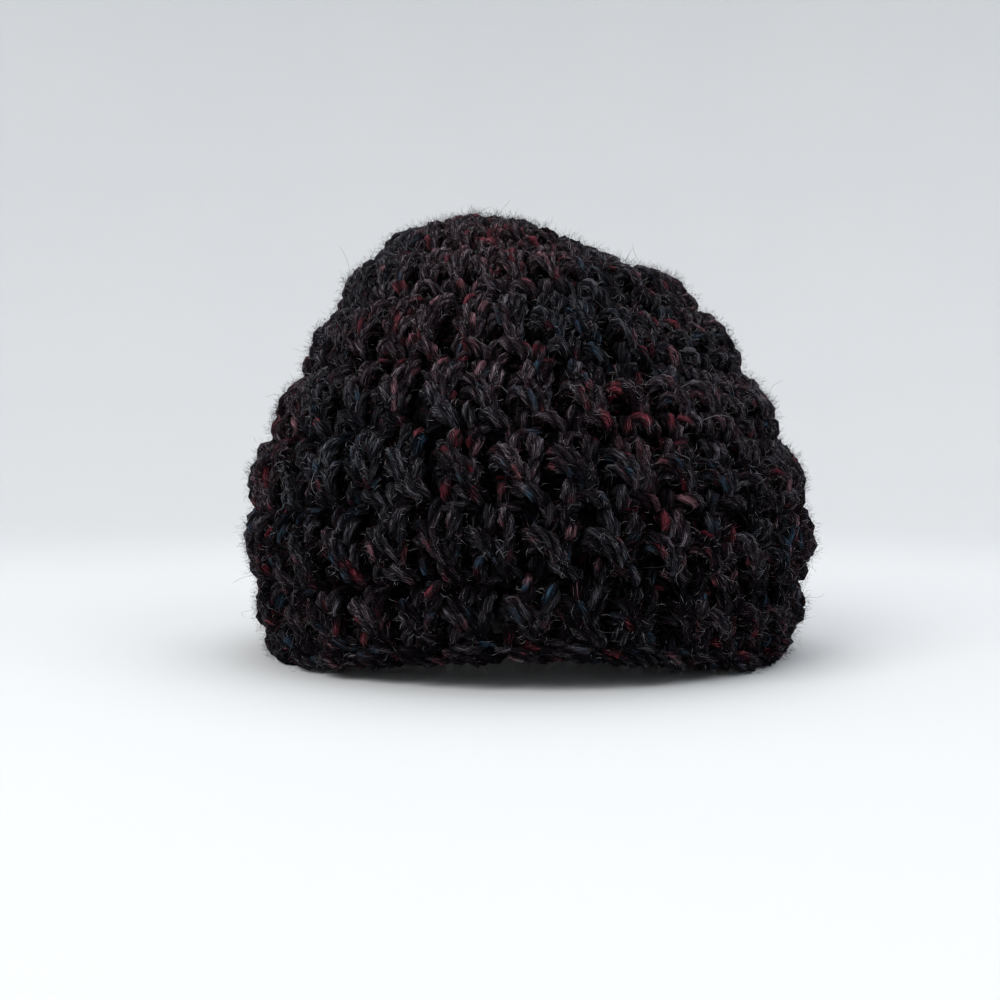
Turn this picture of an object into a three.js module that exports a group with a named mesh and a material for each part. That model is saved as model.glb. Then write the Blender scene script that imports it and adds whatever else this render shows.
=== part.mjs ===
import * as THREE from "three";

// Driving dimensions, in millimetres. The front of the hat faces -Y and it stands on its rim.
const hatWidth = 212;
const hatDepth = 222;
const hatHeight = 168;
const wallThickness = 11;
const edgingHeight = 7.8;
const edgingWidth = 11.5;
const seamGap = 0.3;

// How the fabric is shaped between those sizes.
const ridgeRise = 1.3;
const grooveDepth = 1.9;
const innerGrooveDepth = 1.2;
const frontArch = 9;
const archSpread = THREE.MathUtils.degToRad(66);
const archRounds = 5;

// Fineness of the faceted surfaces.
const columns = 48;
const outerRowsPerRound = 4;
const innerRowsPerRound = 2;
const edgingSides = 8;
const leastRow = 0.2;

// One row for the lower edge of each round of stitches, from the rim up to the crown's centre.
// width, depth and height are shares of the hat's own. shiftX and shiftY move the round's middle,
// and rightDrop is how far its right side hangs below its left, all three in millimetres.
const rounds = [
  { width: 0.915, depth: 0.91, height: 0, shiftX: 0, shiftY: 0, rightDrop: 0 },
  { width: 0.963, depth: 0.97, height: 0.161, shiftX: 0, shiftY: 0, rightDrop: 0 },
  { width: 0.998, depth: 1, height: 0.322, shiftX: 0.2, shiftY: -0.4, rightDrop: 0 },
  { width: 0.935, depth: 0.955, height: 0.48, shiftX: -1.6, shiftY: 1.3, rightDrop: 0 },
  { width: 0.818, depth: 0.852, height: 0.629, shiftX: -3, shiftY: 3.3, rightDrop: 0 },
  { width: 0.675, depth: 0.713, height: 0.769, shiftX: -3.7, shiftY: 4.7, rightDrop: 0 },
  { width: 0.5, depth: 0.52, height: 0.879, shiftX: -7.5, shiftY: 5.4, rightDrop: 3 },
  { width: 0.268, depth: 0.277, height: 0.951, shiftX: -11.2, shiftY: 6, rightDrop: 6.6 },
  { width: 0, depth: 0, height: 0.995, shiftX: -12, shiftY: 6, rightDrop: 0 },
];
const crownCentre = rounds.length - 1;
const crownEdge = 5;
const roundHeight = (rounds[1].height - rounds[0].height) * hatHeight;
const bodyEdge = (edgingHeight + seamGap) / roundHeight;

// Soft dents where the limp fabric gives way. azimuth is in degrees from +X towards +Y and round is
// where the dent lies, with its reach to either side in degrees and in rounds.
const dents = [
  { place: "right shoulder step", azimuth: -6, round: 6.7, reach: 34, rounds: 0.45, depth: 3 },
  { place: "front right hollow", azimuth: -52, round: 4.8, reach: 20, rounds: 0.8, depth: 3 },
  { place: "left flank", azimuth: 186, round: 4, reach: 26, rounds: 0.8, depth: 2 },
  { place: "back slouch fold", azimuth: 96, round: 4.2, reach: 48, rounds: 0.5, depth: 6 },
  { place: "back left hollow", azimuth: 140, round: 2.3, reach: 22, rounds: 1, depth: 3.5 },
];

const turnsOver = ["width", "depth", "rightDrop"];

// A value of the rounds table. Past the crown's centre it mirrors the rows before it, so that the top
// comes out smooth, and below the rim it runs straight on.
function roundValue(index, column) {
  if (index < 0) return 2 * rounds[0][column] - rounds[1][column];
  if (index <= crownCentre) return rounds[index][column];
  const mirrored = rounds[2 * crownCentre - index][column];
  return turnsOver.includes(column) ? -mirrored : mirrored;
}

// The table's value at any place between two rows, on a smooth curve through them.
function between(place, column) {
  const below = Math.min(Math.floor(place), crownCentre - 1);
  const [a, b, c, d] = [-1, 0, 1, 2].map((step) => roundValue(below + step, column));
  const t = place - below;
  const slope = (c - a) / 2;
  const bend = a - 2.5 * b + 2 * c - d / 2;
  const twist = (d - a) / 2 + 1.5 * (b - c);
  return b + t * (slope + t * (bend + t * twist));
}

// How far the front of the rim arches clear of what the hat stands on.
function archAt(place, azimuth) {
  const fromFront = Math.abs(Math.atan2(Math.cos(azimuth), -Math.sin(azimuth)));
  if (fromFront >= archSpread || place >= archRounds) return 0;
  const fade = (1 - Math.max(place - bodyEdge, 0) / archRounds) ** 2;
  return frontArch * fade * (0.5 + 0.5 * Math.cos((Math.PI * fromFront) / archSpread));
}

// The smooth form of the hat, as if it had neither grooves nor dents.
function formPoint(place, azimuth) {
  const x = between(place, "shiftX") + (between(place, "width") * hatWidth * Math.cos(azimuth)) / 2;
  const y = between(place, "shiftY") + (between(place, "depth") * hatDepth * Math.sin(azimuth)) / 2;
  const tilt = (-between(place, "rightDrop") * Math.cos(azimuth)) / 2;
  const z = between(place, "height") * hatHeight + tilt + archAt(place, azimuth);
  return new THREE.Vector3(x, y, z);
}

// The direction out of the fabric. It is level at the rim, so that the wall ends in a level edge.
function outwards(place, azimuth) {
  const step = 0.02;
  const at = Math.min(place, crownCentre - step);
  const turn = place > crownCentre - step ? Math.PI / 2 : step;
  const round = formPoint(at, azimuth + turn).sub(formPoint(at, azimuth - turn));
  const up = place > crownCentre - step
    ? formPoint(at, azimuth + Math.PI).sub(formPoint(at, azimuth))
    : formPoint(at + step, azimuth).sub(formPoint(at, azimuth));
  const direction = round.cross(up);
  direction.z *= THREE.MathUtils.clamp(place - bodyEdge, 0, 1);
  return direction.normalize();
}

function dentAt(place, azimuth) {
  const degrees = THREE.MathUtils.radToDeg(azimuth);
  return dents.reduce((sum, dent) => {
    const turned = THREE.MathUtils.euclideanModulo(degrees - dent.azimuth + 180, 360) - 180;
    const across = turned / dent.reach;
    const along = (place - dent.round) / dent.rounds;
    return sum + dent.depth * Math.exp(-across * across - along * along);
  }, 0);
}

// 1 in the groove between two rounds and 0 on the ridge in the middle of a round.
const groove = (place) => 1 - Math.abs(Math.sin(Math.PI * place));

function outerPoint(place, azimuth) {
  const relief = ridgeRise - (ridgeRise + grooveDepth) * groove(place);
  const inwards = dentAt(place, azimuth) - relief;
  return formPoint(place, azimuth).addScaledVector(outwards(place, azimuth), -inwards);
}

function innerPoint(place, azimuth) {
  const ridge = innerGrooveDepth * (1 - groove(place));
  const inwards = dentAt(place, azimuth) + wallThickness - innerGrooveDepth + ridge;
  return formPoint(place, azimuth).addScaledVector(outwards(place, azimuth), -inwards);
}

function meshOf(name, points, faces, material) {
  const geometry = new THREE.BufferGeometry().setFromPoints(points);
  geometry.setIndex(faces);
  geometry.computeVertexNormals();
  const mesh = new THREE.Mesh(geometry, material);
  mesh.name = name;
  return mesh;
}

const azimuthOf = (column) => (2 * Math.PI * column) / columns;

// Places of the rows of one surface, rowsPerRound to a round, none closer to an end than leastRow.
function rowPlaces(from, to, rowsPerRound) {
  const whole = [];
  for (let row = Math.ceil(from * rowsPerRound + leastRow); row < to * rowsPerRound - leastRow; row++) {
    whole.push(row / rowsPerRound);
  }
  return [from, ...whole, to];
}

// Joins closed rings of points into one surface. A ring of one point closes like a fan.
function stitchRings(rings) {
  const points = rings.flat();
  const faces = [];
  let start = 0;
  for (let ring = 0; ring + 1 < rings.length; ring++) {
    const low = rings[ring].length;
    const high = rings[ring + 1].length;
    for (let column = 0; column < columns; column++) {
      const next = (column + 1) % columns;
      const [a, b] = [start + (column % low), start + (next % low)];
      const [c, d] = [start + low + (column % high), start + low + (next % high)];
      if (low > 1) faces.push(a, b, d);
      if (high > 1) faces.push(a, d, c);
    }
    start += low;
  }
  return { points, faces };
}

function ringOf(pointAt, place) {
  if (place >= crownCentre) return [pointAt(crownCentre, 0)];
  return Array.from({ length: columns }, (_, column) => pointAt(place, azimuthOf(column)));
}

// A hollow stretch of the fabric: up the outside, and back down the inside.
function fabricShell(name, from, to, material) {
  const outer = rowPlaces(from, to, outerRowsPerRound).map((place) => ringOf(outerPoint, place));
  const inner = rowPlaces(from, to, innerRowsPerRound).map((place) => ringOf(innerPoint, place));
  if (to >= crownCentre) return closedCap(name, outer, inner, material);
  const { points, faces } = stitchRings([...outer, ...inner.reverse(), outer[0]]);
  return meshOf(name, points, faces, material);
}

// The crown closes at its centre, so its outside and its inside are two fans joined at the edge.
function closedCap(name, outer, inner, material) {
  const outside = stitchRings(outer);
  const inside = stitchRings([...inner].reverse().concat([outer[0]]));
  const shifted = inside.faces.map((index) => index + outside.points.length);
  return meshOf(name, [...outside.points, ...inside.points], [...outside.faces, ...shifted], material);
}

// The chain edge: a ring whose section has a flat foot and a flat top.
function edgingRing(name, material) {
  const rings = Array.from({ length: edgingSides }, (_, side) => {
    const angle = (2 * Math.PI * (side + 0.5)) / edgingSides;
    const corner = 1 / Math.cos(Math.PI / edgingSides);
    const out = (edgingWidth / 2) * (Math.cos(angle) * corner - 1);
    const up = (edgingHeight / 2) * (Math.sin(angle) * corner + 1);
    return Array.from({ length: columns }, (_, column) => {
      const azimuth = azimuthOf(column);
      const point = formPoint(0, azimuth).addScaledVector(outwards(0, azimuth), out);
      point.z += up;
      return point;
    });
  });
  const { points, faces } = stitchRings([...rings, rings[0]]);
  return meshOf(name, points, faces, material);
}

const yarn = (color) => new THREE.MeshStandardMaterial({ color, roughness: 0.95, metalness: 0 });
const seam = seamGap / roundHeight / 2;

const beanie = new THREE.Group();
beanie.add(edgingRing("rim_edging", yarn("#1d1a1c")));
beanie.add(fabricShell("body", bodyEdge, crownEdge - seam, yarn("#211c1f")));
beanie.add(fabricShell("crown", crownEdge + seam, crownCentre, yarn("#261d21")));

export default beanie;
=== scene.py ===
import math

import bpy
import numpy as np
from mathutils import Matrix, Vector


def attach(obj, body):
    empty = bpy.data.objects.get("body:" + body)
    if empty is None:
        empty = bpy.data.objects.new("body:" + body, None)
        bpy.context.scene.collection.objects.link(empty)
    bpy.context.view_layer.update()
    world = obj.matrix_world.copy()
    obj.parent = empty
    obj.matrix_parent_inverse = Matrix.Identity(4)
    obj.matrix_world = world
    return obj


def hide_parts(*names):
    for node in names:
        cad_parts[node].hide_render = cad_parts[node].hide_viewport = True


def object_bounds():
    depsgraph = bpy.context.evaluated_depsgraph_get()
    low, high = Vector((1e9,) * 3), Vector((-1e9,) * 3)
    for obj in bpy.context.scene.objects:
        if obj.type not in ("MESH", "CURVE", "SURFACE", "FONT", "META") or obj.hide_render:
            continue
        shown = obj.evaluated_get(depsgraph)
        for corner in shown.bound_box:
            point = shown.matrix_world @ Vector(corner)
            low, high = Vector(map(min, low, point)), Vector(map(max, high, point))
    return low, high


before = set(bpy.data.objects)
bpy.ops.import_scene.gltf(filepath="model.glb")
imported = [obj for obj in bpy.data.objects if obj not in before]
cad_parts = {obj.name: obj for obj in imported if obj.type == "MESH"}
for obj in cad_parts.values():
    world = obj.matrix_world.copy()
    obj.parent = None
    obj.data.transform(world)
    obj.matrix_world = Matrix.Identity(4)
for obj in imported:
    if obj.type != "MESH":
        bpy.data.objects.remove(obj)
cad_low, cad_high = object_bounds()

# The view
# The hat stands on its rim, seen from straight in front and a little above its widest round. The lens
# is worked out so that the hat fills the same stretch of the picture as it does in the photo.
mm = 0.001
picture_side = 1000
sensor_side = 36.0
hat_left_px, hat_right_px = 243, 812
level_px = 448
view_distance = 0.50
view_height = 0.076
yarn_past_solid = 1.5 * mm

hat_reach = (cad_high.x - cad_low.x) / 2 + yarn_past_solid
half_hat_px = (hat_right_px - hat_left_px) / 2
focal_px = half_hat_px * math.sqrt(view_distance ** 2 - hat_reach ** 2) / hat_reach
hat_centre_px = (hat_left_px + hat_right_px) / 2
look_left = math.atan((hat_centre_px - picture_side / 2) / focal_px)
look_down = math.atan((picture_side / 2 - level_px) / focal_px)
bpy.ops.object.camera_add(
    location=(0, -view_distance, view_height),
    rotation=(math.pi / 2 - look_down, 0, look_left),
)
camera = bpy.context.object
camera.data.sensor_width = sensor_side
camera.data.lens = focal_px * sensor_side / picture_side
bpy.context.scene.camera = camera
bpy.context.scene.view_settings.view_transform = "Standard"


# The studio
# A pale round floor that rises all round into a pale wall, under a large soft window light from the
# upper left, a weaker one from the right and one from above.
floor_radius = 0.75
cove_radius = 0.95
cove_steps = 12
wall_rise = 1.1
wall_steps = 96
wall_crease = math.radians(40)
paper_mottle = (3.0, 3.0, 3.0)
paper_dark = (0.53, 0.545, 0.555, 1)
paper_pale = (0.56, 0.57, 0.575, 1)
air_tint = (0.93, 0.95, 1.0, 1)
air_strength = 0.75


class Shade:
    """An output socket of a material's nodes. Sums, differences and products add Math nodes."""

    def __init__(self, tree, socket=None):
        self.tree = tree
        self.socket = socket

    def node(self, kind, settings=(), inputs=(), output=0):
        made = self.tree.nodes.new(kind)
        for name, value in dict(settings).items():
            setattr(made, name, value)
        for name, value in dict(inputs).items():
            if isinstance(value, Shade):
                self.tree.links.new(value.socket, made.inputs[name])
            else:
                made.inputs[name].default_value = value
        return Shade(self.tree, made.outputs[output] if len(made.outputs) else None)

    def math(self, operation, first, second):
        return self.node("ShaderNodeMath", {"operation": operation}, {0: first, 1: second})

    def apply(self, operation):
        return self.node("ShaderNodeMath", {"operation": operation}, {0: self})

    def __add__(self, other):
        return self.math("ADD", self, other)

    def __radd__(self, other):
        return self.math("ADD", other, self)

    def __sub__(self, other):
        return self.math("SUBTRACT", self, other)

    def __rsub__(self, other):
        return self.math("SUBTRACT", other, self)

    def __mul__(self, other):
        return self.math("MULTIPLY", self, other)

    def __rmul__(self, other):
        return self.math("MULTIPLY", other, self)

    def steps_up(self, start, end):
        """0 below start, 1 above end and smooth between them. With start above end it steps down."""
        settings = {"interpolation_type": "SMOOTHSTEP"}
        inputs = {"Value": self, "From Min": start, "From Max": end}
        return self.node("ShaderNodeMapRange", settings, inputs)

    def attribute(self, name, output):
        return self.node("ShaderNodeAttribute", {"attribute_name": name}, output=output)

    def part(self, vector, axis):
        return self.node("ShaderNodeSeparateXYZ", {}, {"Vector": vector}, output=axis)

    def noise(self, vector, stretch, shift=0.0, detail=2.0, warp=0.0):
        """Noise on a vector that is first stretched along its axes and moved."""
        scaled = self.node("ShaderNodeVectorMath", {"operation": "MULTIPLY"}, {0: vector, 1: stretch})
        moved = self.node("ShaderNodeVectorMath", {"operation": "ADD"}, {0: scaled, 1: (shift,) * 3})
        inputs = {"Vector": moved, "Scale": 1.0, "Detail": detail, "Distortion": warp}
        return self.node("ShaderNodeTexNoise", {}, inputs)

    def blend(self, share, first, second):
        """A colour between two colours."""
        settings = {"data_type": "RGBA"}
        return self.node("ShaderNodeMix", settings, {0: share, 6: first, 7: second}, output=2)


def new_material(name):
    material = bpy.data.materials.new(name)
    material.use_nodes = True
    material.node_tree.nodes.clear()
    return material, Shade(material.node_tree)


def studio_paper():
    material, shade = new_material("studio_paper")
    place = shade.node("ShaderNodeTexCoord", output="Object")
    tint = shade.blend(shade.noise(place, paper_mottle), paper_dark, paper_pale)
    paper = shade.node("ShaderNodeBsdfPrincipled", {}, {"Base Color": tint, "Roughness": 0.9})
    shade.node("ShaderNodeOutputMaterial", {}, {"Surface": paper})
    return material


bpy.ops.object.select_all(action="DESELECT")
bpy.ops.mesh.primitive_circle_add(vertices=wall_steps, radius=floor_radius, fill_type="NGON")
studio = bpy.context.object
studio.name = "studio_floor"
bpy.ops.object.mode_set(mode="EDIT")
bpy.ops.mesh.select_mode(type="EDGE")
bpy.ops.mesh.select_all(action="SELECT")
for step in range(cove_steps):
    start, end = (math.pi / 2 * part / cove_steps for part in (step, step + 1))
    reach = floor_radius + cove_radius * math.sin(start)
    grown = floor_radius + cove_radius * math.sin(end)
    rise = cove_radius * (math.cos(start) - math.cos(end))
    bpy.ops.mesh.extrude_edges_move(TRANSFORM_OT_translate={"value": (0, 0, rise)})
    bpy.ops.transform.resize(value=(grown / reach, grown / reach, 1), center_override=(0, 0, 0))
bpy.ops.mesh.extrude_edges_move(TRANSFORM_OT_translate={"value": (0, 0, wall_rise)})
bpy.ops.mesh.select_all(action="SELECT")
bpy.ops.mesh.normals_make_consistent(inside=True)
bpy.ops.object.mode_set(mode="OBJECT")
bpy.ops.object.shade_smooth_by_angle(angle=wall_crease)
studio.data.materials.append(studio_paper())

lamps = [
    dict(name="window", place=(-0.85, -0.95, 1.15), side=1.0, power=20.5, tint=(1.0, 0.98, 0.96)),
    dict(name="room", place=(1.15, -0.75, 1.1), side=1.1, power=9.6, tint=(0.93, 0.96, 1.0)),
    dict(name="ceiling", place=(0.1, 0.25, 1.5), side=1.3, power=14.5, tint=(1.0, 1.0, 1.0)),
]
hat_middle = (cad_low + cad_high) / 2
for lamp in lamps:
    bpy.ops.object.light_add(type="AREA", location=lamp["place"])
    light = bpy.context.object
    light.name = lamp["name"]
    light.data.size = lamp["side"]
    light.data.energy = lamp["power"]
    light.data.color = lamp["tint"]
    light.rotation_euler = (hat_middle - light.location).to_track_quat("-Z", "Y").to_euler()

world = bpy.data.worlds.new("studio_air")
world.use_nodes = True
air = world.node_tree.nodes["Background"]
air.inputs["Color"].default_value = air_tint
air.inputs["Strength"].default_value = air_strength
bpy.context.scene.world = world


# The crown
# The closed top of the hat: three rounds of tall crochet stitches that widen from a small ring at the
# centre. The yarn is thick, soft and loosely plied, charcoal with red, salmon, grey and blue flecks.
hat_width, hat_depth, hat_height = cad_high - cad_low
wall = 11 * mm
wall_shift = 0.2 * mm

# One row for the lower edge of each round of stitches, from the rim up to the crown's centre. Width,
# depth and height are shares of the hat's own. The shifts move the round's middle, and right_drop is
# how far its right side hangs below its left, all three in millimetres.
rounds = [
    dict(width=0.915, depth=0.910, height=0.000, shift_x=0.0, shift_y=0.0, right_drop=0.0),
    dict(width=0.963, depth=0.970, height=0.161, shift_x=0.0, shift_y=0.0, right_drop=0.0),
    dict(width=0.998, depth=1.000, height=0.322, shift_x=0.2, shift_y=-0.4, right_drop=0.0),
    dict(width=0.935, depth=0.955, height=0.480, shift_x=-1.6, shift_y=1.3, right_drop=0.0),
    dict(width=0.818, depth=0.852, height=0.629, shift_x=-3.0, shift_y=3.3, right_drop=0.0),
    dict(width=0.675, depth=0.713, height=0.769, shift_x=-3.7, shift_y=4.7, right_drop=0.0),
    dict(width=0.500, depth=0.520, height=0.879, shift_x=-7.5, shift_y=5.4, right_drop=3.0),
    dict(width=0.268, depth=0.277, height=0.951, shift_x=-11.2, shift_y=6.0, right_drop=6.6),
    dict(width=0.000, depth=0.000, height=0.995, shift_x=-12.0, shift_y=6.0, right_drop=0.0),
]
turns_over = ("width", "depth", "right_drop")

# Soft dents where the limp fabric gives way. Azimuth is in degrees from +X towards +Y and place counts
# rounds up from the rim, and the dent reaches that many degrees and rounds to either side.
dents = [
    dict(azimuth=-6, place=6.5, reach=38, rounds=0.60, depth=4.6),
    dict(azimuth=-52, place=4.8, reach=20, rounds=0.8, depth=3.0),
    dict(azimuth=186, place=4.0, reach=26, rounds=0.8, depth=2.0),
    dict(azimuth=96, place=4.2, reach=48, rounds=0.5, depth=6.0),
    dict(azimuth=140, place=2.3, reach=22, rounds=1.0, depth=3.5),
]
crown_centre = len(rounds) - 1
arch_height = 9 * mm
arch_spread = math.radians(66)
arch_rounds = 5.0
rim_edge = 0.30
waver = 0.035
wavers = [
    dict(turns=3, start=0.7, share=1.0, climb=0.0),
    dict(turns=5, start=2.1, share=0.7, climb=1.0),
]
snug = 2.4 * mm
snug_from = 1.4


def round_values(column):
    """The table's column, with a row run on below the rim and one mirrored past the crown's centre."""
    listed = [row[column] for row in rounds]
    beyond = -listed[-2] if column in turns_over else listed[-2]
    return np.array([2 * listed[0] - listed[1], *listed, beyond])


def curve_between(a, b, c, d, t):
    """The share t of the way from b to c, on a smooth curve that a and d bend."""
    slope = (c - a) / 2
    bend = a - 2.5 * b + 2 * c - d / 2
    twist = (d - a) / 2 + 1.5 * (b - c)
    return b + t * (slope + t * (bend + t * twist))


round_columns = {column: round_values(column) for column in rounds[0]}


def between_rounds(column, place):
    """The table's value at any place, counted in rounds up from the rim, on a smooth curve."""
    below = np.clip(np.floor(place).astype(int), 0, crown_centre - 1)
    a, b, c, d = (round_columns[column][below + step] for step in range(4))
    return curve_between(a, b, c, d, place - below)


def front_arch(place, azimuth):
    """How far the front of the rim bows up."""
    from_front = np.abs(np.arctan2(np.cos(azimuth), -np.sin(azimuth)))
    fade = np.clip(1 - np.maximum(place - rim_edge, 0) / arch_rounds, 0, 1) ** 2
    bow = 0.5 + 0.5 * np.cos(np.pi * np.minimum(from_front / arch_spread, 1))
    return arch_height * fade * bow


def form_point(place, azimuth):
    """The smooth form of the hat."""
    across = between_rounds("width", place) * hat_width / 2 * np.cos(azimuth)
    along = between_rounds("depth", place) * hat_depth / 2 * np.sin(azimuth)
    x = between_rounds("shift_x", place) * mm + across
    y = between_rounds("shift_y", place) * mm + along
    tilt = between_rounds("right_drop", place) * mm / 2 * np.cos(azimuth)
    z = between_rounds("height", place) * hat_height - tilt + front_arch(place, azimuth)
    return np.stack([x, y, z], -1)


def unit(vectors):
    return vectors / np.maximum(np.linalg.norm(vectors, axis=-1, keepdims=True), 1e-12)


def outwards(place, azimuth):
    """The direction out of the fabric, level at the rim."""
    step = 0.03
    at = np.minimum(place, crown_centre - step)
    around = form_point(at, azimuth + step) - form_point(at, azimuth - step)
    up = form_point(at + step, azimuth) - form_point(at, azimuth)
    direction = unit(np.cross(around, up))
    direction[..., 2] *= np.clip(place - rim_edge, 0, 1)
    return unit(direction)


def dent_depth(place, azimuth):
    total = np.zeros(np.broadcast(place, azimuth).shape)
    for dent in dents:
        turned = (np.degrees(azimuth) - dent["azimuth"] + 180) % 360 - 180
        share = np.exp(-(turned / dent["reach"]) ** 2 - ((place - dent["place"]) / dent["rounds"]) ** 2)
        total += dent["depth"] * mm * share
    return total


def fabric_point(place, azimuth, out):
    """A point of the fabric, out metres outside the middle of its wall. The rounds waver a little,
    and above snug_from the fabric lies closer to the hat's middle."""
    swing = sum(
        wave["share"] * np.sin(wave["turns"] * azimuth + wave["start"] + wave["climb"] * place)
        for wave in wavers
    )
    place = place + waver * swing * np.sin(np.pi * np.clip(place / crown_centre, 0, 1))
    pulled_in = dent_depth(place, azimuth) + snug * np.clip(place - snug_from, 0, 1)
    lift = out - pulled_in - wall / 2 + wall_shift
    return form_point(place, azimuth) + outwards(place, azimuth) * lift[..., None]


# Each strand of a stitch. Across and up are shares of the stitch's width and height, and out is in
# millimetres from the middle of the wall. Girth is a share of the yarn's, where it is pulled tight.
front_strands = [
    dict(name="chain", steps=9, girth=0.70, path=[
        (-0.50, -0.06, -1.5), (-0.41, -0.05, 2.0), (-0.26, -0.03, 3.8), (-0.08, 0.02, 3.4),
        (0.07, 0.07, 0.0)]),
    dict(name="chain_under", steps=6, girth=0.80, path=[
        (-0.32, -0.02, -2.4), (-0.05, 0.00, 0.2), (0.20, 0.03, 0.8), (0.44, 0.02, -1.5)]),
    dict(name="head_left", steps=10, girth=0.90, path=[
        (0.03, 1.03, -1.5), (-0.02, 1.00, 1.7), (-0.01, 0.89, 3.7), (-0.02, 0.76, 3.5),
        (-0.06, 0.62, 0.6)]),
    dict(name="head_right", steps=10, girth=0.98, path=[
        (0.27, 1.06, -1.5), (0.29, 1.00, 1.8), (0.32, 0.86, 4.1), (0.31, 0.70, 4.1), (0.26, 0.56, 1.0)]),
    dict(name="head_back", steps=6, girth=0.9, path=[
        (-0.34, 1.02, -2.8), (-0.35, 0.94, -1.2), (-0.33, 0.82, -0.8), (-0.30, 0.68, -1.6)]),
    dict(name="wrap_high", steps=12, girth=0.82, path=[
        (-0.43, 0.58, -1.4), (-0.39, 0.69, 1.3), (-0.23, 0.71, 4.0), (-0.02, 0.59, 5.0),
        (0.14, 0.43, 4.2), (0.22, 0.28, 0.8)]),
    dict(name="wrap_low", steps=12, girth=0.82, path=[
        (-0.42, 0.40, -1.4), (-0.38, 0.51, 1.4), (-0.24, 0.55, 4.0), (-0.05, 0.43, 4.8),
        (0.08, 0.29, 3.7), (0.13, 0.15, 0.4)]),
    dict(name="post_right", steps=8, girth=0.72, path=[
        (0.27, 0.70, -0.5), (0.29, 0.60, 2.4), (0.27, 0.44, 3.4), (0.26, 0.30, 3.0), (0.26, 0.16, 0.3)]),
    dict(name="foot_left", steps=8, girth=0.9, path=[
        (-0.23, 0.36, 0.0), (-0.27, 0.25, 2.4), (-0.25, 0.10, 2.6), (-0.20, -0.04, 0.0)]),
    dict(name="foot_right", steps=10, girth=1.02, path=[
        (-0.12, 0.20, 0.0), (-0.01, 0.23, 2.8), (0.17, 0.19, 4.1), (0.35, 0.11, 3.3), (0.47, 0.02, 0.0)]),
]
back_strands = [
    dict(name="chain_back", steps=6, girth=1.0, path=[
        (-0.58, 0.04, 0.2), (-0.30, 0.07, -2.4), (0.05, 0.03, -3.2), (0.40, -0.02, -2.4),
        (0.60, -0.03, 0.0)]),
    dict(name="wrap_back", steps=6, girth=1.08, path=[
        (0.42, 0.92, 0.2), (0.30, 0.78, -2.4), (0.05, 0.62, -3.2), (-0.22, 0.48, -2.8),
        (-0.40, 0.36, 0.0)]),
    dict(name="leg_back", steps=6, girth=1.08, path=[
        (0.34, 0.50, 0.2), (0.20, 0.42, -2.4), (-0.06, 0.33, -3.2), (-0.22, 0.18, -2.6),
        (-0.28, -0.03, 0.0)]),
    dict(name="post_back", steps=6, girth=1.10, path=[
        (0.46, 1.02, -0.6), (0.50, 0.80, -2.6), (0.53, 0.52, -3.2), (0.50, 0.25, -2.8),
        (0.47, -0.02, -0.8)]),
    dict(name="cross_back", steps=6, girth=1.0, path=[
        (0.12, 0.98, -1.6), (0.10, 0.88, -2.4), (-0.18, 0.80, -2.8), (-0.36, 0.64, -2.8),
        (-0.50, 0.46, -1.8)]),
]
rear_posts = [
    dict(name="rear_post", steps=6, girth=1.15, path=[
        (across, 1.06, -2.2), (across, 0.80, -2.6), (across, 0.50, -2.8), (across, 0.20, -2.6),
        (across, -0.06, -2.2)])
    for across in (-0.33, 0.00, 0.30)
]

# Where stitches are crowded, two strands behind them are left out. Some gaps between the posts stay
# open at the front. From where the sine of the azimuth passes rear_from, all are closed and more posts
# stand behind them.
crowded_out = ("head_back", "cross_back")
crowded_pitch = 12 * mm
open_gaps = 0.08
rear_from = -0.60

# How the stitches differ by chance. A jitter is for a path's three columns. The others are shares, and
# where there are two numbers they are a mean and a spread.
strand_jitter = (0.030, 0.020, 0.34)
point_jitter = (0.024, 0.015, 0.30)
stitch_spread = {
    "width": (1, 0.07),
    "shift": (0, 0.05),
    "lean": (-0.05, 0.09),
    "tilt": (0, 0.055),
    "swell": (1, 0.11),
}
strand_spread = 0.09
strand_limits = (0.8, 1.2)
girth_spread = 0.05
skin_spread = 0.03
turn_per_round = 0.43
yarn_radius = 3.15 * mm
plies = 3
front_sides = 9
back_sides = 6
groove_share = 0.40
front_taper = 0.62
back_taper = 0.30
hat_heart = np.array([0, 0, hat_height / 3])
twist_length = 18 * mm
yarn_run = 30
widest_stitch = 18 * mm
least_girth = 0.66
row_bulge = 2.7 * mm
centre_gap = 0.02
centre_least = 0.05
centre_flatness = 0.3


def smooth_paths(points, steps):
    """Curves through the last-but-one axis of points, with that many points each."""
    count = points.shape[-2]
    t = np.linspace(0, count - 1, steps)
    below = np.clip(np.floor(t).astype(int), 0, count - 2)
    t = (t - below)[:, None]
    first = 2 * points[..., :1, :] - points[..., 1:2, :]
    last = 2 * points[..., -1:, :] - points[..., -2:-1, :]
    run = np.concatenate([first, points, last], -2)
    a, b, c, d = (run[..., below + step, :] for step in range(4))
    return curve_between(a, b, c, d, t)


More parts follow.
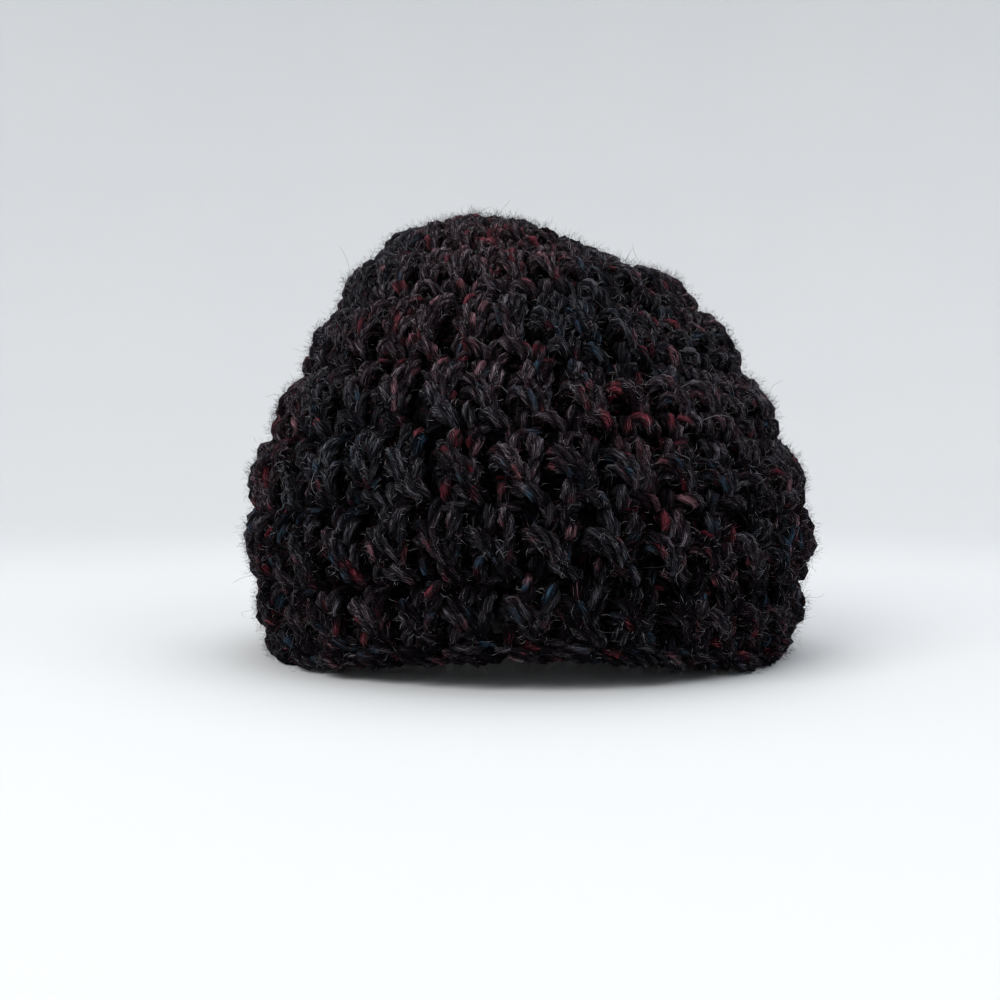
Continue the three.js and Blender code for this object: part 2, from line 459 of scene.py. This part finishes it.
def stitch_paths(strand, low, high, count, turn, chance, shape):
    """One strand of every stitch in a round, as points and how far out they lie in the wall."""
    path = np.array(strand["path"])[None]
    path = path + chance.normal(size=(count, 1, 3)) * strand_jitter
    path = path + chance.normal(size=(count, path.shape[1], 3)) * point_jitter
    across = path[..., 0] * shape["width"] + shape["shift"] + shape["lean"] * (path[..., 1] - 0.5)
    azimuth = turn + 2 * np.pi * (np.arange(count)[:, None] + across) / count
    place = low + (high - low) * (path[..., 1] + shape["tilt"] * path[..., 0])
    bulge = row_bulge * (np.sin(np.pi * np.clip(path[..., 1], 0, 1)) - 0.5)
    out = path[..., 2] * mm * shape["swell"] + bulge
    flattening = np.clip(crown_centre - place, centre_least, 1) ** centre_flatness
    points = fabric_point(np.minimum(place, crown_centre - centre_gap), azimuth, out * flattening)
    return smooth_paths(np.concatenate([points, out[..., None]], -1), strand["steps"])


def stitch_shapes(count, chance):
    """How each stitch of a round is shaped, as one column of shares for each kind of difference."""
    return {kind: chance.normal(*spread, (count, 1)) for kind, spread in stitch_spread.items()}


def spin_yarn(paths, radius, sides, end_taper, chance):
    """Twisted yarn along each path, as rings of points with a groove between each two plies."""
    paths, depth = paths[..., :3], paths[..., 3:]
    count, steps, _ = paths.shape
    tangent = unit(np.gradient(paths, axis=1))
    side = unit(np.cross(tangent[:, 0], chance.normal(size=(count, 3))))
    sideways = [side]
    for step in range(1, steps):
        side = unit(side - (side * tangent[:, step]).sum(-1, keepdims=True) * tangent[:, step])
        sideways.append(side)
    sideways = np.stack(sideways, 1)[:, :, None]
    upright = np.cross(tangent[:, :, None], sideways)
    gaps = np.linalg.norm(np.diff(paths, axis=1), axis=-1)
    length = np.concatenate([np.zeros((count, 1)), np.cumsum(gaps, 1)], 1)[..., None]
    column = 2 * np.pi * np.arange(sides) / sides
    angle = column + 2 * np.pi * length / twist_length + chance.uniform(0, 2 * np.pi, (count, 1, 1))
    taper = 1 - end_taper * np.abs(np.linspace(-1, 1, steps)) ** 3
    girth = radius[:, None] * taper * chance.normal(1, girth_spread, (count, steps))
    groove = groove_share * (0.5 - 0.5 * np.cos(plies * column)) ** 2
    reach = girth[..., None] * (chance.normal(1, skin_spread, (count, steps, sides)) - groove)
    ring = np.cos(angle)[..., None] * sideways + np.sin(angle)[..., None] * upright
    points = paths[:, :, None] + reach[..., None] * ring
    outward = unit(paths - hat_heart)[:, :, None]
    depth = depth + reach * (ring * outward).sum(-1)
    start = chance.uniform(0, yarn_run, (count, 1, 1))
    fields = (length + start, np.cos(column), np.sin(column), depth)
    return points, np.stack([np.broadcast_to(field, depth.shape) for field in fields], -1)


map_ends = (0.11, 0.89)
map_sides = (0.05, 0.95)
cap_spots = [[(0.05, 0.5)], [(0.95, 0.5)]]
cap_radius = 0.035


def grid_cells(count):
    """The lower left corners of enough equal cells of the unit square, and their side."""
    columns = math.ceil(math.sqrt(count))
    return np.stack([np.arange(count) % columns, np.arange(count) // columns], -1) / columns, 1 / columns


def tube_faces(tubes, steps, sides):
    """Faces of closed tubes, each face a row of its corners, and where they lie on the bake's map."""
    start = np.arange(tubes)[:, None, None] * steps * sides
    step, side = np.meshgrid(np.arange(steps - 1), np.arange(sides), indexing="ij")
    low, after = step * sides, (side + 1) % sides
    high = low + sides
    quads = start[..., None] + np.stack([low + side, low + after, high + after, high + side], -1)
    rim = np.arange(sides)
    caps = start + np.stack([rim[::-1], (steps - 1) * sides + rim])
    corner, cell = grid_cells(tubes)
    u = np.linspace(*map_ends, steps)
    v = np.linspace(*map_sides, sides + 1)
    run = [(u[step], v[side]), (u[step], v[side + 1]), (u[step + 1], v[side + 1]), (u[step + 1], v[side])]
    quad_map = corner[:, None, None, None] + cell * np.stack([np.stack(pair, -1) for pair in run], 2)
    turn = 2 * np.pi * rim / sides
    disc = cap_radius * np.stack([np.cos(turn), np.sin(turn)], -1)
    cap_map = corner[:, None, None] + cell * (disc + np.array(cap_spots))
    quad_group = (quads.reshape(-1, 4), quad_map.reshape(-1, 2))
    cap_group = (caps.reshape(-1, sides), cap_map.reshape(-1, 2))
    return [quad_group, cap_group]


def piece_of(name, points, strand, faces, material):
    """A mesh object from arrays. faces lists groups of like faces, each with its part of the map."""
    corners = np.concatenate([group.ravel() for group, _ in faces])
    sizes = np.concatenate([np.full(len(group), group.shape[1]) for group, _ in faces])
    mesh = bpy.data.meshes.new(name)
    mesh.vertices.add(len(points))
    mesh.vertices.foreach_set("co", points.astype(np.float32).ravel())
    mesh.loops.add(len(corners))
    mesh.loops.foreach_set("vertex_index", corners.astype(np.int32))
    mesh.polygons.add(len(sizes))
    mesh.polygons.foreach_set("loop_start", (np.cumsum(sizes) - sizes).astype(np.int32))
    mesh.polygons.foreach_set("use_smooth", np.ones(len(sizes), bool))
    layer = mesh.attributes.new("strand", "FLOAT_VECTOR", "POINT")
    layer.data.foreach_set("vector", strand[:, :3].astype(np.float32).ravel())
    layer = mesh.attributes.new("depth", "FLOAT", "POINT")
    layer.data.foreach_set("value", strand[:, 3].astype(np.float32))
    mesh.update(calc_edges=True)
    layer = mesh.uv_layers.new(name="OFBake", do_init=False)
    layer.uv.foreach_set("vector", np.concatenate([spot for _, spot in faces]).astype(np.float32).ravel())
    mesh.materials.append(material)
    piece = bpy.data.objects.new(name, mesh)
    bpy.context.collection.objects.link(piece)
    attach(piece, "root")
    return piece


def piece_of_tubes(name, bundles, material):
    """One piece from several bundles of tubes, each with a strip of the map."""
    faces = []
    base = 0
    for row, (points, _) in enumerate(bundles):
        tubes, steps, sides, _ = points.shape
        for group, spot in tube_faces(tubes, steps, sides):
            faces.append((group + base, (spot + (0, row)) * (1, 1 / len(bundles))))
        base += tubes * steps * sides
    points = np.concatenate([points.reshape(-1, 3) for points, _ in bundles])
    strand = np.concatenate([strand.reshape(-1, 4) for _, strand in bundles])
    return piece_of(name, points, strand, faces, material)


# Lengths along the yarn are in metres. The fibres wind round it by fibre_slant radians a metre, and the
# first number of a stretch is about how many bumps its noise has in a metre.
fibre_slant = 215
streak_stretch = (110.0, 3.0, 3.0)
hairline_stretch = (200.0, 7.5, 7.5)
swirl_stretch = (300.0, 300.0, 300.0)
tone_stretch = (70.0, 5.7, 1.0)
mood_stretch = (16.0, 0.0, 0.0)
patch_stretch = (17.0, 17.0, 20.0)
fleck_stretch = (95.0, 5.7, 1.0)
hue_stretch = (30.0, 5.7, 1.0)
fibre_relief = 0.35 * mm

# Where each mask starts and where it is full.
curl_lines = (0.03, 0.0)
curl_patches = (0.40, 0.60)
pale_hairlines = (0.50, 0.77)
tone_and_top_light_range = (0.77, 1.25)
ruddy_places = (-0.09, 0.04)
salmon_flecks = (0.42, 0.50)
pink_flecks = (0.56, 0.62)
blue_flecks = (0.685, 0.745)
red_flecks = (0.625, 0.700)
fleck_cover = (0.86, 1.40)
# The yarn's colour is painted darker towards yarn_shadow as painted shade. This shade is deepest in the
# middle of the wall and fades out towards its outer and inner faces, and groove_shade adds it in the
# grooves between plies.
outer_shade_depths = (-0.5 * mm, 6.5 * mm)
inner_shade_depths = (-3.5 * mm, -6.5 * mm)
least_outer_light = 0.04
most_inner_light = 0.8
groove_shade = 0.85
fray = 0.55
# The height in metres about which the painted light from above turns the wool from darker to lighter.
painted_light_middle = 0.09

charcoal_cool = (0.0018, 0.0019, 0.0026, 1)
charcoal_warm = (0.0042, 0.0020, 0.0030, 1)
grey_cool = (0.235, 0.245, 0.280, 1)
grey_warm = (0.350, 0.278, 0.315, 1)
fleck_red = (0.112, 0.0125, 0.020, 1)
fleck_salmon = (0.175, 0.040, 0.050, 1)
fleck_pink = (0.225, 0.112, 0.132, 1)
fleck_blue = (0.028, 0.058, 0.090, 1)
yarn_shadow = (0.0006, 0.0006, 0.0008, 1)
yarn_sheen = (0.55, 0.52, 0.55, 1)

# Where the yarn runs through a redder length. Azimuth and place are as for the dents, and reach is in
# millimetres.
warm_stretches = [
    dict(azimuth=-100, place=6.6, reach=30),
    dict(azimuth=-117, place=4.5, reach=30),
    dict(azimuth=-85, place=5.8, reach=22),
    dict(azimuth=-92, place=3.9, reach=13),
    dict(azimuth=-66, place=3.2, reach=15),
    dict(azimuth=-66, place=2.1, reach=12),
    dict(azimuth=-22, place=1.6, reach=18),
    dict(azimuth=35, place=4.6, reach=24),
    dict(azimuth=105, place=2.4, reach=26),
    dict(azimuth=150, place=5.2, reach=20),
    dict(azimuth=205, place=2.8, reach=22),
]
warm_gain = 0.075
patch_gain = 0.20
usual_coolness = 0.04


def yarn_warmth(shade, place):
    """Red flecks gather where this is high, and blue ones where it is low."""
    patch = shade.noise(place, patch_stretch, shift=5.0, detail=1.0)
    warmth = (patch - 0.5) * patch_gain - usual_coolness
    for stretch in warm_stretches:
        middle = form_point(np.array(stretch["place"]), np.radians(stretch["azimuth"]))
        ends = {0: place, 1: tuple(middle)}
        away = shade.node("ShaderNodeVectorMath", {"operation": "DISTANCE"}, ends, output=1)
        near = away.steps_up(stretch["reach"] * 1.5 * mm, stretch["reach"] * 0.5 * mm)
        warmth = warmth + near * warm_gain
    return warmth


def plain_wool(shade, place, single, streak, hairline, warmth):
    """The yarn without flecks: charcoal, with pale fibres on lighter lengths of a ply, painted lighter
    higher up as light from above.
    """
    swirl = shade.noise(place, swirl_stretch, shift=7.0, detail=1.0, warp=1.5)
    curly = (swirl - 0.5).apply("ABSOLUTE").steps_up(*curl_lines) * hairline.steps_up(*curl_patches)
    tone = shade.noise(single, tone_stretch, shift=71.0, detail=0.0)
    mood = shade.noise(single, mood_stretch, shift=83.0, detail=0.0)
    height = shade.part(place, "Z")
    ruddy = warmth.steps_up(*ruddy_places)
    # Besides the random tone of each length, the wool is painted lighter higher up and darker lower down,
    # as painted light from above.
    tone_and_top_light = streak * 0.4 + tone * 0.7 + mood * 0.9 + (height - painted_light_middle) * 1.3 + ruddy * 0.05
    tone_and_top_light = tone_and_top_light.steps_up(*tone_and_top_light_range)
    light = hairline.steps_up(*pale_hairlines) * (tone_and_top_light * 0.96 + 0.04) + tone_and_top_light * 0.03 + curly * tone_and_top_light * 0.2
    dark = shade.blend(ruddy, charcoal_cool, charcoal_warm)
    pale = shade.blend(ruddy, grey_cool, grey_warm)
    return shade.blend(light, dark, pale)


def flecked_wool(shade, wool, single, streak, hairline, warmth):
    """The wool with flecks, each a short length of one ply: blue ones, then red, salmon and pink ones."""
    frayed = (hairline - 0.5) * fray
    cover = (streak * 0.6 + hairline * 1.6).steps_up(*fleck_cover)
    warm = shade.noise(single, fleck_stretch, shift=21.0, detail=1.0) + warmth + frayed
    cool = shade.noise(single, fleck_stretch, shift=53.0, detail=1.0) - warmth * 0.4 + frayed
    hue = shade.noise(single, hue_stretch, shift=37.0, detail=0.0)
    red = shade.blend(hue.steps_up(*salmon_flecks), fleck_red, fleck_salmon)
    red = shade.blend(hue.steps_up(*pink_flecks), red, fleck_pink)
    tint = shade.blend(cool.steps_up(*blue_flecks) * cover, wool, fleck_blue)
    return shade.blend(warm.steps_up(*red_flecks) * cover, tint, red)


def tweed_yarn():
    """The yarn. Its strand attribute holds how far along the yarn a point lies, and the cosine and sine
    of its angle round it. Its depth attribute holds how far outside the wall's middle it lies."""
    material, shade = new_material("tweed_yarn")
    strand = shade.attribute("strand", "Vector")
    depth = shade.attribute("depth", "Fac")
    place = shade.node("ShaderNodeTexCoord", output="Object")
    along, crest, flank = (shade.part(strand, axis) for axis in "XYZ")
    turned = shade.math("ARCTAN2", flank, crest)
    turn = turned * (plies / (2 * math.pi))
    ply = turn.apply("ROUND")
    rise = (turn * (2 * math.pi)).apply("COSINE") * 0.5 + 0.5
    slant = turned + along * fibre_slant
    crosswise = {"Y": slant.apply("COSINE"), "Z": slant.apply("SINE")}
    fibre = shade.node("ShaderNodeCombineXYZ", {}, {"X": along, **crosswise})
    single = shade.node("ShaderNodeCombineXYZ", {}, {"X": along, "Y": ply})
    streak = shade.noise(strand, streak_stretch, shift=3.0, warp=0.5)
    hairline = shade.noise(fibre, hairline_stretch, shift=11.0, detail=3.0, warp=1.5)
    warmth = yarn_warmth(shade, place)
    wool = plain_wool(shade, place, single, streak, hairline, warmth)
    tint = flecked_wool(shade, wool, single, streak, hairline, warmth)
    # Painted shade: the yarn darkens towards yarn_shadow the deeper it lies in the wall, and in the
    # grooves between its plies.
    outer_painted_light = depth.steps_up(*outer_shade_depths) * (1 - least_outer_light) + least_outer_light
    inner_painted_light = depth.steps_up(*inner_shade_depths) * most_inner_light
    shown = (outer_painted_light + inner_painted_light) * (rise * groove_shade + (1 - groove_shade))
    relief = {"Strength": 1.0, "Distance": fibre_relief, "Height": streak * 0.5 + hairline * 0.5}
    yarn = shade.node("ShaderNodeBsdfPrincipled", {}, {
        "Base Color": shade.blend(shown, yarn_shadow, tint),
        "Normal": shade.node("ShaderNodeBump", {}, relief),
        "Roughness": 0.9,
        "Specular IOR Level": 0.0,
        "Sheen Weight": 0.012,
        "Sheen Roughness": 0.4,
        "Sheen Tint": yarn_sheen,
    })
    shade.node("ShaderNodeOutputMaterial", {}, {"Surface": yarn})
    return material


yarn_material = tweed_yarn()
stitch_counts = [36, 36, 36, 36, 36, 36, 24, 12]
crown_seed = 60
yarn_skins = {}


def crochet_round(name, number, node, low, seed):
    """One round of stitches as a piece. number counts the rounds up from the rim."""
    chance = np.random.default_rng(seed)
    count = stitch_counts[number]
    high = number + 1
    turn = 2 * np.pi * turn_per_round * number / count
    shapes = stitch_shapes(count, chance)
    around = 2 * np.pi * np.arange(count) / count
    ring = form_point(np.full(count, (low + high) / 2), around)
    pitch = np.linalg.norm(np.roll(ring, -1, 0) - ring, axis=-1).mean()
    radius = yarn_radius * min(1.0, least_girth + (1 - least_girth) * pitch / widest_stitch)
    bundles = []
    inner = back_strands + rear_posts
    groups = ((front_strands, front_sides, front_taper), (inner, back_sides, back_taper))
    for strands, sides, end_taper in groups:
        for strand in strands:
            if strand["name"] in crowded_out and pitch < crowded_pitch:
                continue
            paths = stitch_paths(strand, low, high, count, turn, chance, shapes)
            if strand["name"] == "post_back":
                closed = chance.uniform(size=count) > open_gaps
                paths = paths[closed | (np.sin(around + turn) > rear_from)]
            if strand["name"] == "rear_post":
                paths = paths[np.sin(around + turn) > rear_from]
            share = np.clip(chance.normal(1, strand_spread, len(paths)), *strand_limits)
            bundles.append(spin_yarn(paths, radius * strand["girth"] * share, sides, end_taper, chance))
    piece = piece_of_tubes(name, bundles, yarn_material)
    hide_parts(node)
    yarn_skins[name] = bundles


for number, name in ((5, "crown_round_outer"), (6, "crown_round_middle"), (7, "crown_round_inner")):
    crochet_round(name, number, "crown", number, crown_seed + number)


# The body
# Five even rounds of the same stitch, each worked into the chain of the round above it, which makes
# the ribs and the dark grooves round the hat. The lowest one reaches a little into the rim's chain.
body_rounds = 5
body_seed = 40
first_low = rim_edge * 0.75

for number in range(body_rounds):
    low = first_low if number == 0 else number
    crochet_round(f"body_round_{number + 1}", number, "body", low, body_seed + number)


# The rim edging
# The chain at the foot of the last round. Its two legs wind round the opening like a rope, and the
# hat stands on the lower one.
rim_strands = [
    dict(name="leg_high", steps=11, path=[
        (-0.60, 0.50, 0.4), (-0.42, 0.52, 2.8), (-0.05, 0.66, 3.8), (0.32, 0.82, 2.8),
        (0.56, 0.86, 0.2)]),
    dict(name="leg_low", steps=11, path=[
        (-0.56, 0.44, 1.4), (-0.36, 0.36, 3.2), (0.00, 0.29, 3.4), (0.38, 0.32, 1.8), (0.60, 0.42, 0.0)]),
    dict(name="leg_inner", steps=8, path=[
        (-0.58, 0.36, 0.0), (-0.36, 0.32, -2.4), (0.00, 0.30, -3.4), (0.38, 0.34, -2.4),
        (0.58, 0.42, 0.0)]),
    dict(name="leg_rise", steps=8, path=[
        (-0.50, 0.62, 0.0), (-0.30, 0.74, -2.2), (0.04, 0.76, -2.8), (0.36, 0.64, -2.2),
        (0.56, 0.52, 0.0)]),
]
rim_seed = 77
rim_taper = 0.5
rim_girth = (0.98, 0.06)
lowest_yarn = 0.02 * mm


def rim_chain():
    chance = np.random.default_rng(rim_seed)
    count = stitch_counts[0]
    shapes = stitch_shapes(count, chance)
    shapes["lean"] *= 0
    bundles = []
    for strand in rim_strands:
        paths = stitch_paths(strand, 0, rim_edge, count, 0, chance, shapes)
        girth = yarn_radius * chance.normal(*rim_girth, count)
        points, places = spin_yarn(paths, girth, front_sides, rim_taper, chance)
        points[..., 2] = np.maximum(points[..., 2], lowest_yarn)
        bundles.append((points, places))
    piece = piece_of_tubes("rim_chain", bundles, yarn_material)
    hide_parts("rim_edging")
    yarn_skins["rim_chain"] = bundles


rim_chain()


# The fuzz
# Loose fibres of the yarn, each a thin closed spindle. Most stand off it as a short soft halo, some lie
# along their strand as pale hairlines, and a few longer ones curl over the surface.
fibre_kinds = [
    dict(name="hairlines", share=0.075, length=4.2, rings=1, along=1.0, off=0.28, stray=0.36,
         curl=0.70, pull=0.08, radius=0.050, dark=4.0),
    dict(name="halo", share=0.918, length=2.9, rings=1, along=0.28, off=1.05, stray=0.62,
         curl=0.95, pull=0.08, radius=0.048, dark=5.0),
    dict(name="curls", share=0.007, length=11.0, rings=7, along=0.9, off=0.12, stray=0.34,
         curl=0.75, pull=0.27, radius=0.045, dark=1.8),
]
fibres_in_all = 72600
fuzz_seed = 5
length_spread = 0.45
curl_drift = 0.4

# A fibre is likelier to grow from skin that faces out, and the further out that lies in the wall.
facing_out = -0.1
inside_share = 0.12
root_depth = 6 * mm
root_limits = (0.05, 1.2)
root_contrast = 2.4

# The room that fibres may take up round the hat, and how low they may hang.
fibre_room = 8 * mm
lowest_fibre = 0.25 * mm
fibres_low = (cad_low.x - fibre_room, cad_low.y - fibre_room, lowest_fibre)
fibres_high = tuple(high + fibre_room for high in cad_high)
fibre_map = (0.05, 0.95)

pale_fibres = (0.15, 1.0)
red_fibres = (0.88, 0.92)
fibre_shade_depths = (0.5 * mm, 6.0 * mm)
fibre_dark = (0.003, 0.003, 0.004, 1)
fibre_pale = (0.30, 0.29, 0.31, 1)
fibre_red = (0.07, 0.018, 0.022, 1)
fibre_shadow = (0.001, 0.001, 0.001, 1)


def fibre_fuzz():
    """The loose fibres. Two values for each fibre choose how pale it is, and whether it is red, and
    painted shade darkens those rooted deep in the wall.
    """
    material, shade = new_material("fibre_fuzz")
    strand = shade.attribute("strand", "Vector")
    depth = shade.attribute("depth", "Fac")
    paleness, redness = (shade.part(strand, axis) for axis in "YZ")
    tint = shade.blend(paleness.steps_up(*pale_fibres), fibre_dark, fibre_pale)
    tint = shade.blend(redness.steps_up(*red_fibres), tint, fibre_red)
    # Painted shade: fibres rooted deep in the wall are darkened towards fibre_shadow.
    tint = shade.blend(depth.steps_up(*fibre_shade_depths), fibre_shadow, tint)
    looks = {"Base Color": tint, "Roughness": 0.6, "Specular IOR Level": 0.15}
    fibre = shade.node("ShaderNodeBsdfPrincipled", {}, looks)
    shade.node("ShaderNodeOutputMaterial", {}, {"Surface": fibre})
    return material


def fibre_roots(skins, count, chance):
    """Points over the yarn's skin, mostly its outer side, each with the direction along the strand, the
    one away from it, and its depth in the wall."""
    picked = []
    for points, strand in skins:
        along = np.gradient(points, axis=1)[:, 1:-1]
        away = (points - points.mean(2, keepdims=True))[:, 1:-1]
        skin_depth = strand[:, 1:-1, :, 3:]
        fields = (points[:, 1:-1], along, away, skin_depth)
        picked.append([field.reshape(-1, field.shape[-1]) for field in fields])
    spot, along, away, depth = (np.concatenate(field) for field in zip(*picked))
    out = unit(spot - hat_heart)
    weight = np.where((unit(away) * out).sum(-1) > facing_out, 1.0, inside_share)
    weight = weight * np.clip(depth[:, 0] / root_depth, *root_limits) ** root_contrast
    chosen = chance.choice(len(spot), count, p=weight / weight.sum())
    slide = chance.uniform(-0.5, 0.5, (count, 1))
    return spot[chosen] + slide * along[chosen], unit(along[chosen]), unit(away[chosen]), depth[chosen]


def spindles(kind, skins, count, chance):
    """Thin closed fibres, pointed at both ends, with three corners to each ring between."""
    start, along, away, depth = fibre_roots(skins, count, chance)
    way = along * chance.choice([-1.0, 1.0], (count, 1))
    stray = chance.normal(size=(count, 3)) * kind["stray"]
    heading = unit(way * kind["along"] + away * kind["off"] + stray)
    growth = np.exp(np.minimum(chance.normal(0, length_spread, (count, 1)), length_spread))
    stride = kind["length"] * mm * growth / (kind["rings"] + 1)
    bend = unit(chance.normal(size=(count, 3))) * kind["curl"]
    path = [start]
    for _ in range(kind["rings"] + 1):
        path.append(path[-1] + heading * stride)
        heading = unit(heading + bend - away * kind["pull"])
        bend = bend + chance.normal(size=(count, 3)) * kind["curl"] * curl_drift
    path = np.clip(np.stack(path, 1), fibres_low, fibres_high)
    tangent = unit(np.gradient(path, axis=1))[:, 1:-1]
    side = unit(np.cross(tangent, chance.normal(size=(count, 1, 3))))
    upright = np.cross(tangent, side)
    angle = 2 * np.pi * np.arange(3)[:, None] / 3
    ring = np.cos(angle) * side[:, :, None] + np.sin(angle) * upright[:, :, None]
    rings = path[:, 1:-1, None] + kind["radius"] * mm * ring
    points = np.concatenate([path[:, :1], rings.reshape(count, -1, 3), path[:, -1:]], 1)
    tone = chance.uniform(0, 1, (count, 2)) ** (kind["dark"], 1.0)
    strand = np.concatenate([tone[:, [0, 0, 1]], depth], -1)[:, None]
    strand = np.broadcast_to(strand, (*points.shape[:2], 4))
    return points, strand, spindle_faces(count, kind["rings"])


def spindle_faces(count, rings):
    """Faces of the spindles, each face a row of its corners, and where they lie on the bake's map."""
    size = 2 + 3 * rings
    start = np.arange(count)[:, None, None] * size
    side = np.arange(3)
    after = (side + 1) % 3
    base = 1 + 3 * np.arange(rings)[:, None]
    low, high = base[:-1], base[1:]
    quads = start[..., None] + np.stack([low + side, low + after, high + after, high + side], -1)
    root = np.stack([np.zeros(3, int), base[0] + after, base[0] + side], -1)
    tip = np.stack([np.full(3, size - 1), base[-1] + side, base[-1] + after], -1)
    ends = start + np.concatenate([root, tip])
    corner, cell = grid_cells(count)
    u = np.linspace(*fibre_map, rings + 2)
    v = np.linspace(*fibre_map, 4)
    j, k = np.meshgrid(np.arange(1, rings), side, indexing="ij")
    run = [(u[j], v[k]), (u[j], v[k + 1]), (u[j + 1], v[k + 1]), (u[j + 1], v[k])]
    quad_map = corner[:, None, None, None] + cell * np.stack([np.stack(pair, -1) for pair in run], 2)
    middle = (v[side] + v[side + 1]) / 2
    first, last = np.full(3, u[1]), np.full(3, u[-2])
    root_map = [(np.full(3, u[0]), middle), (first, v[side + 1]), (first, v[side])]
    tip_map = [(np.full(3, u[-1]), middle), (last, v[side]), (last, v[side + 1])]
    both_maps = [np.stack([np.stack(pair, -1) for pair in end], 1) for end in (root_map, tip_map)]
    end_map = corner[:, None, None] + cell * np.concatenate(both_maps)
    quad_group = (quads.reshape(-1, 4), quad_map.reshape(-1, 2))
    end_group = (ends.reshape(-1, 3), end_map.reshape(-1, 2))
    return [quad_group, end_group]


def fuzz_on(name, skins, count, chance):
    """The fuzz of one round, as a piece of its own."""
    parts = [spindles(kind, skins, max(1, round(count * kind["share"])), chance) for kind in fibre_kinds]
    faces = []
    base = 0
    for row, (points, _, groups) in enumerate(parts):
        for group, spot in groups:
            faces.append((group + base, (spot + (0, row)) * (1, 1 / len(parts))))
        base += points.shape[0] * points.shape[1]
    points = np.concatenate([part[0].reshape(-1, 3) for part in parts])
    strand = np.concatenate([part[1].reshape(-1, 4) for part in parts])
    piece_of(f"{name}_fuzz", points, strand, faces, fuzz_material)


fuzz_material = fibre_fuzz()
fuzz_chance = np.random.default_rng(fuzz_seed)
tubes_in_all = sum(len(points) for skins in yarn_skins.values() for points, _ in skins)
for name, skins in yarn_skins.items():
    tubes = sum(len(points) for points, _ in skins)
    fuzz_on(name, skins, round(fibres_in_all * tubes / tubes_in_all), fuzz_chance)
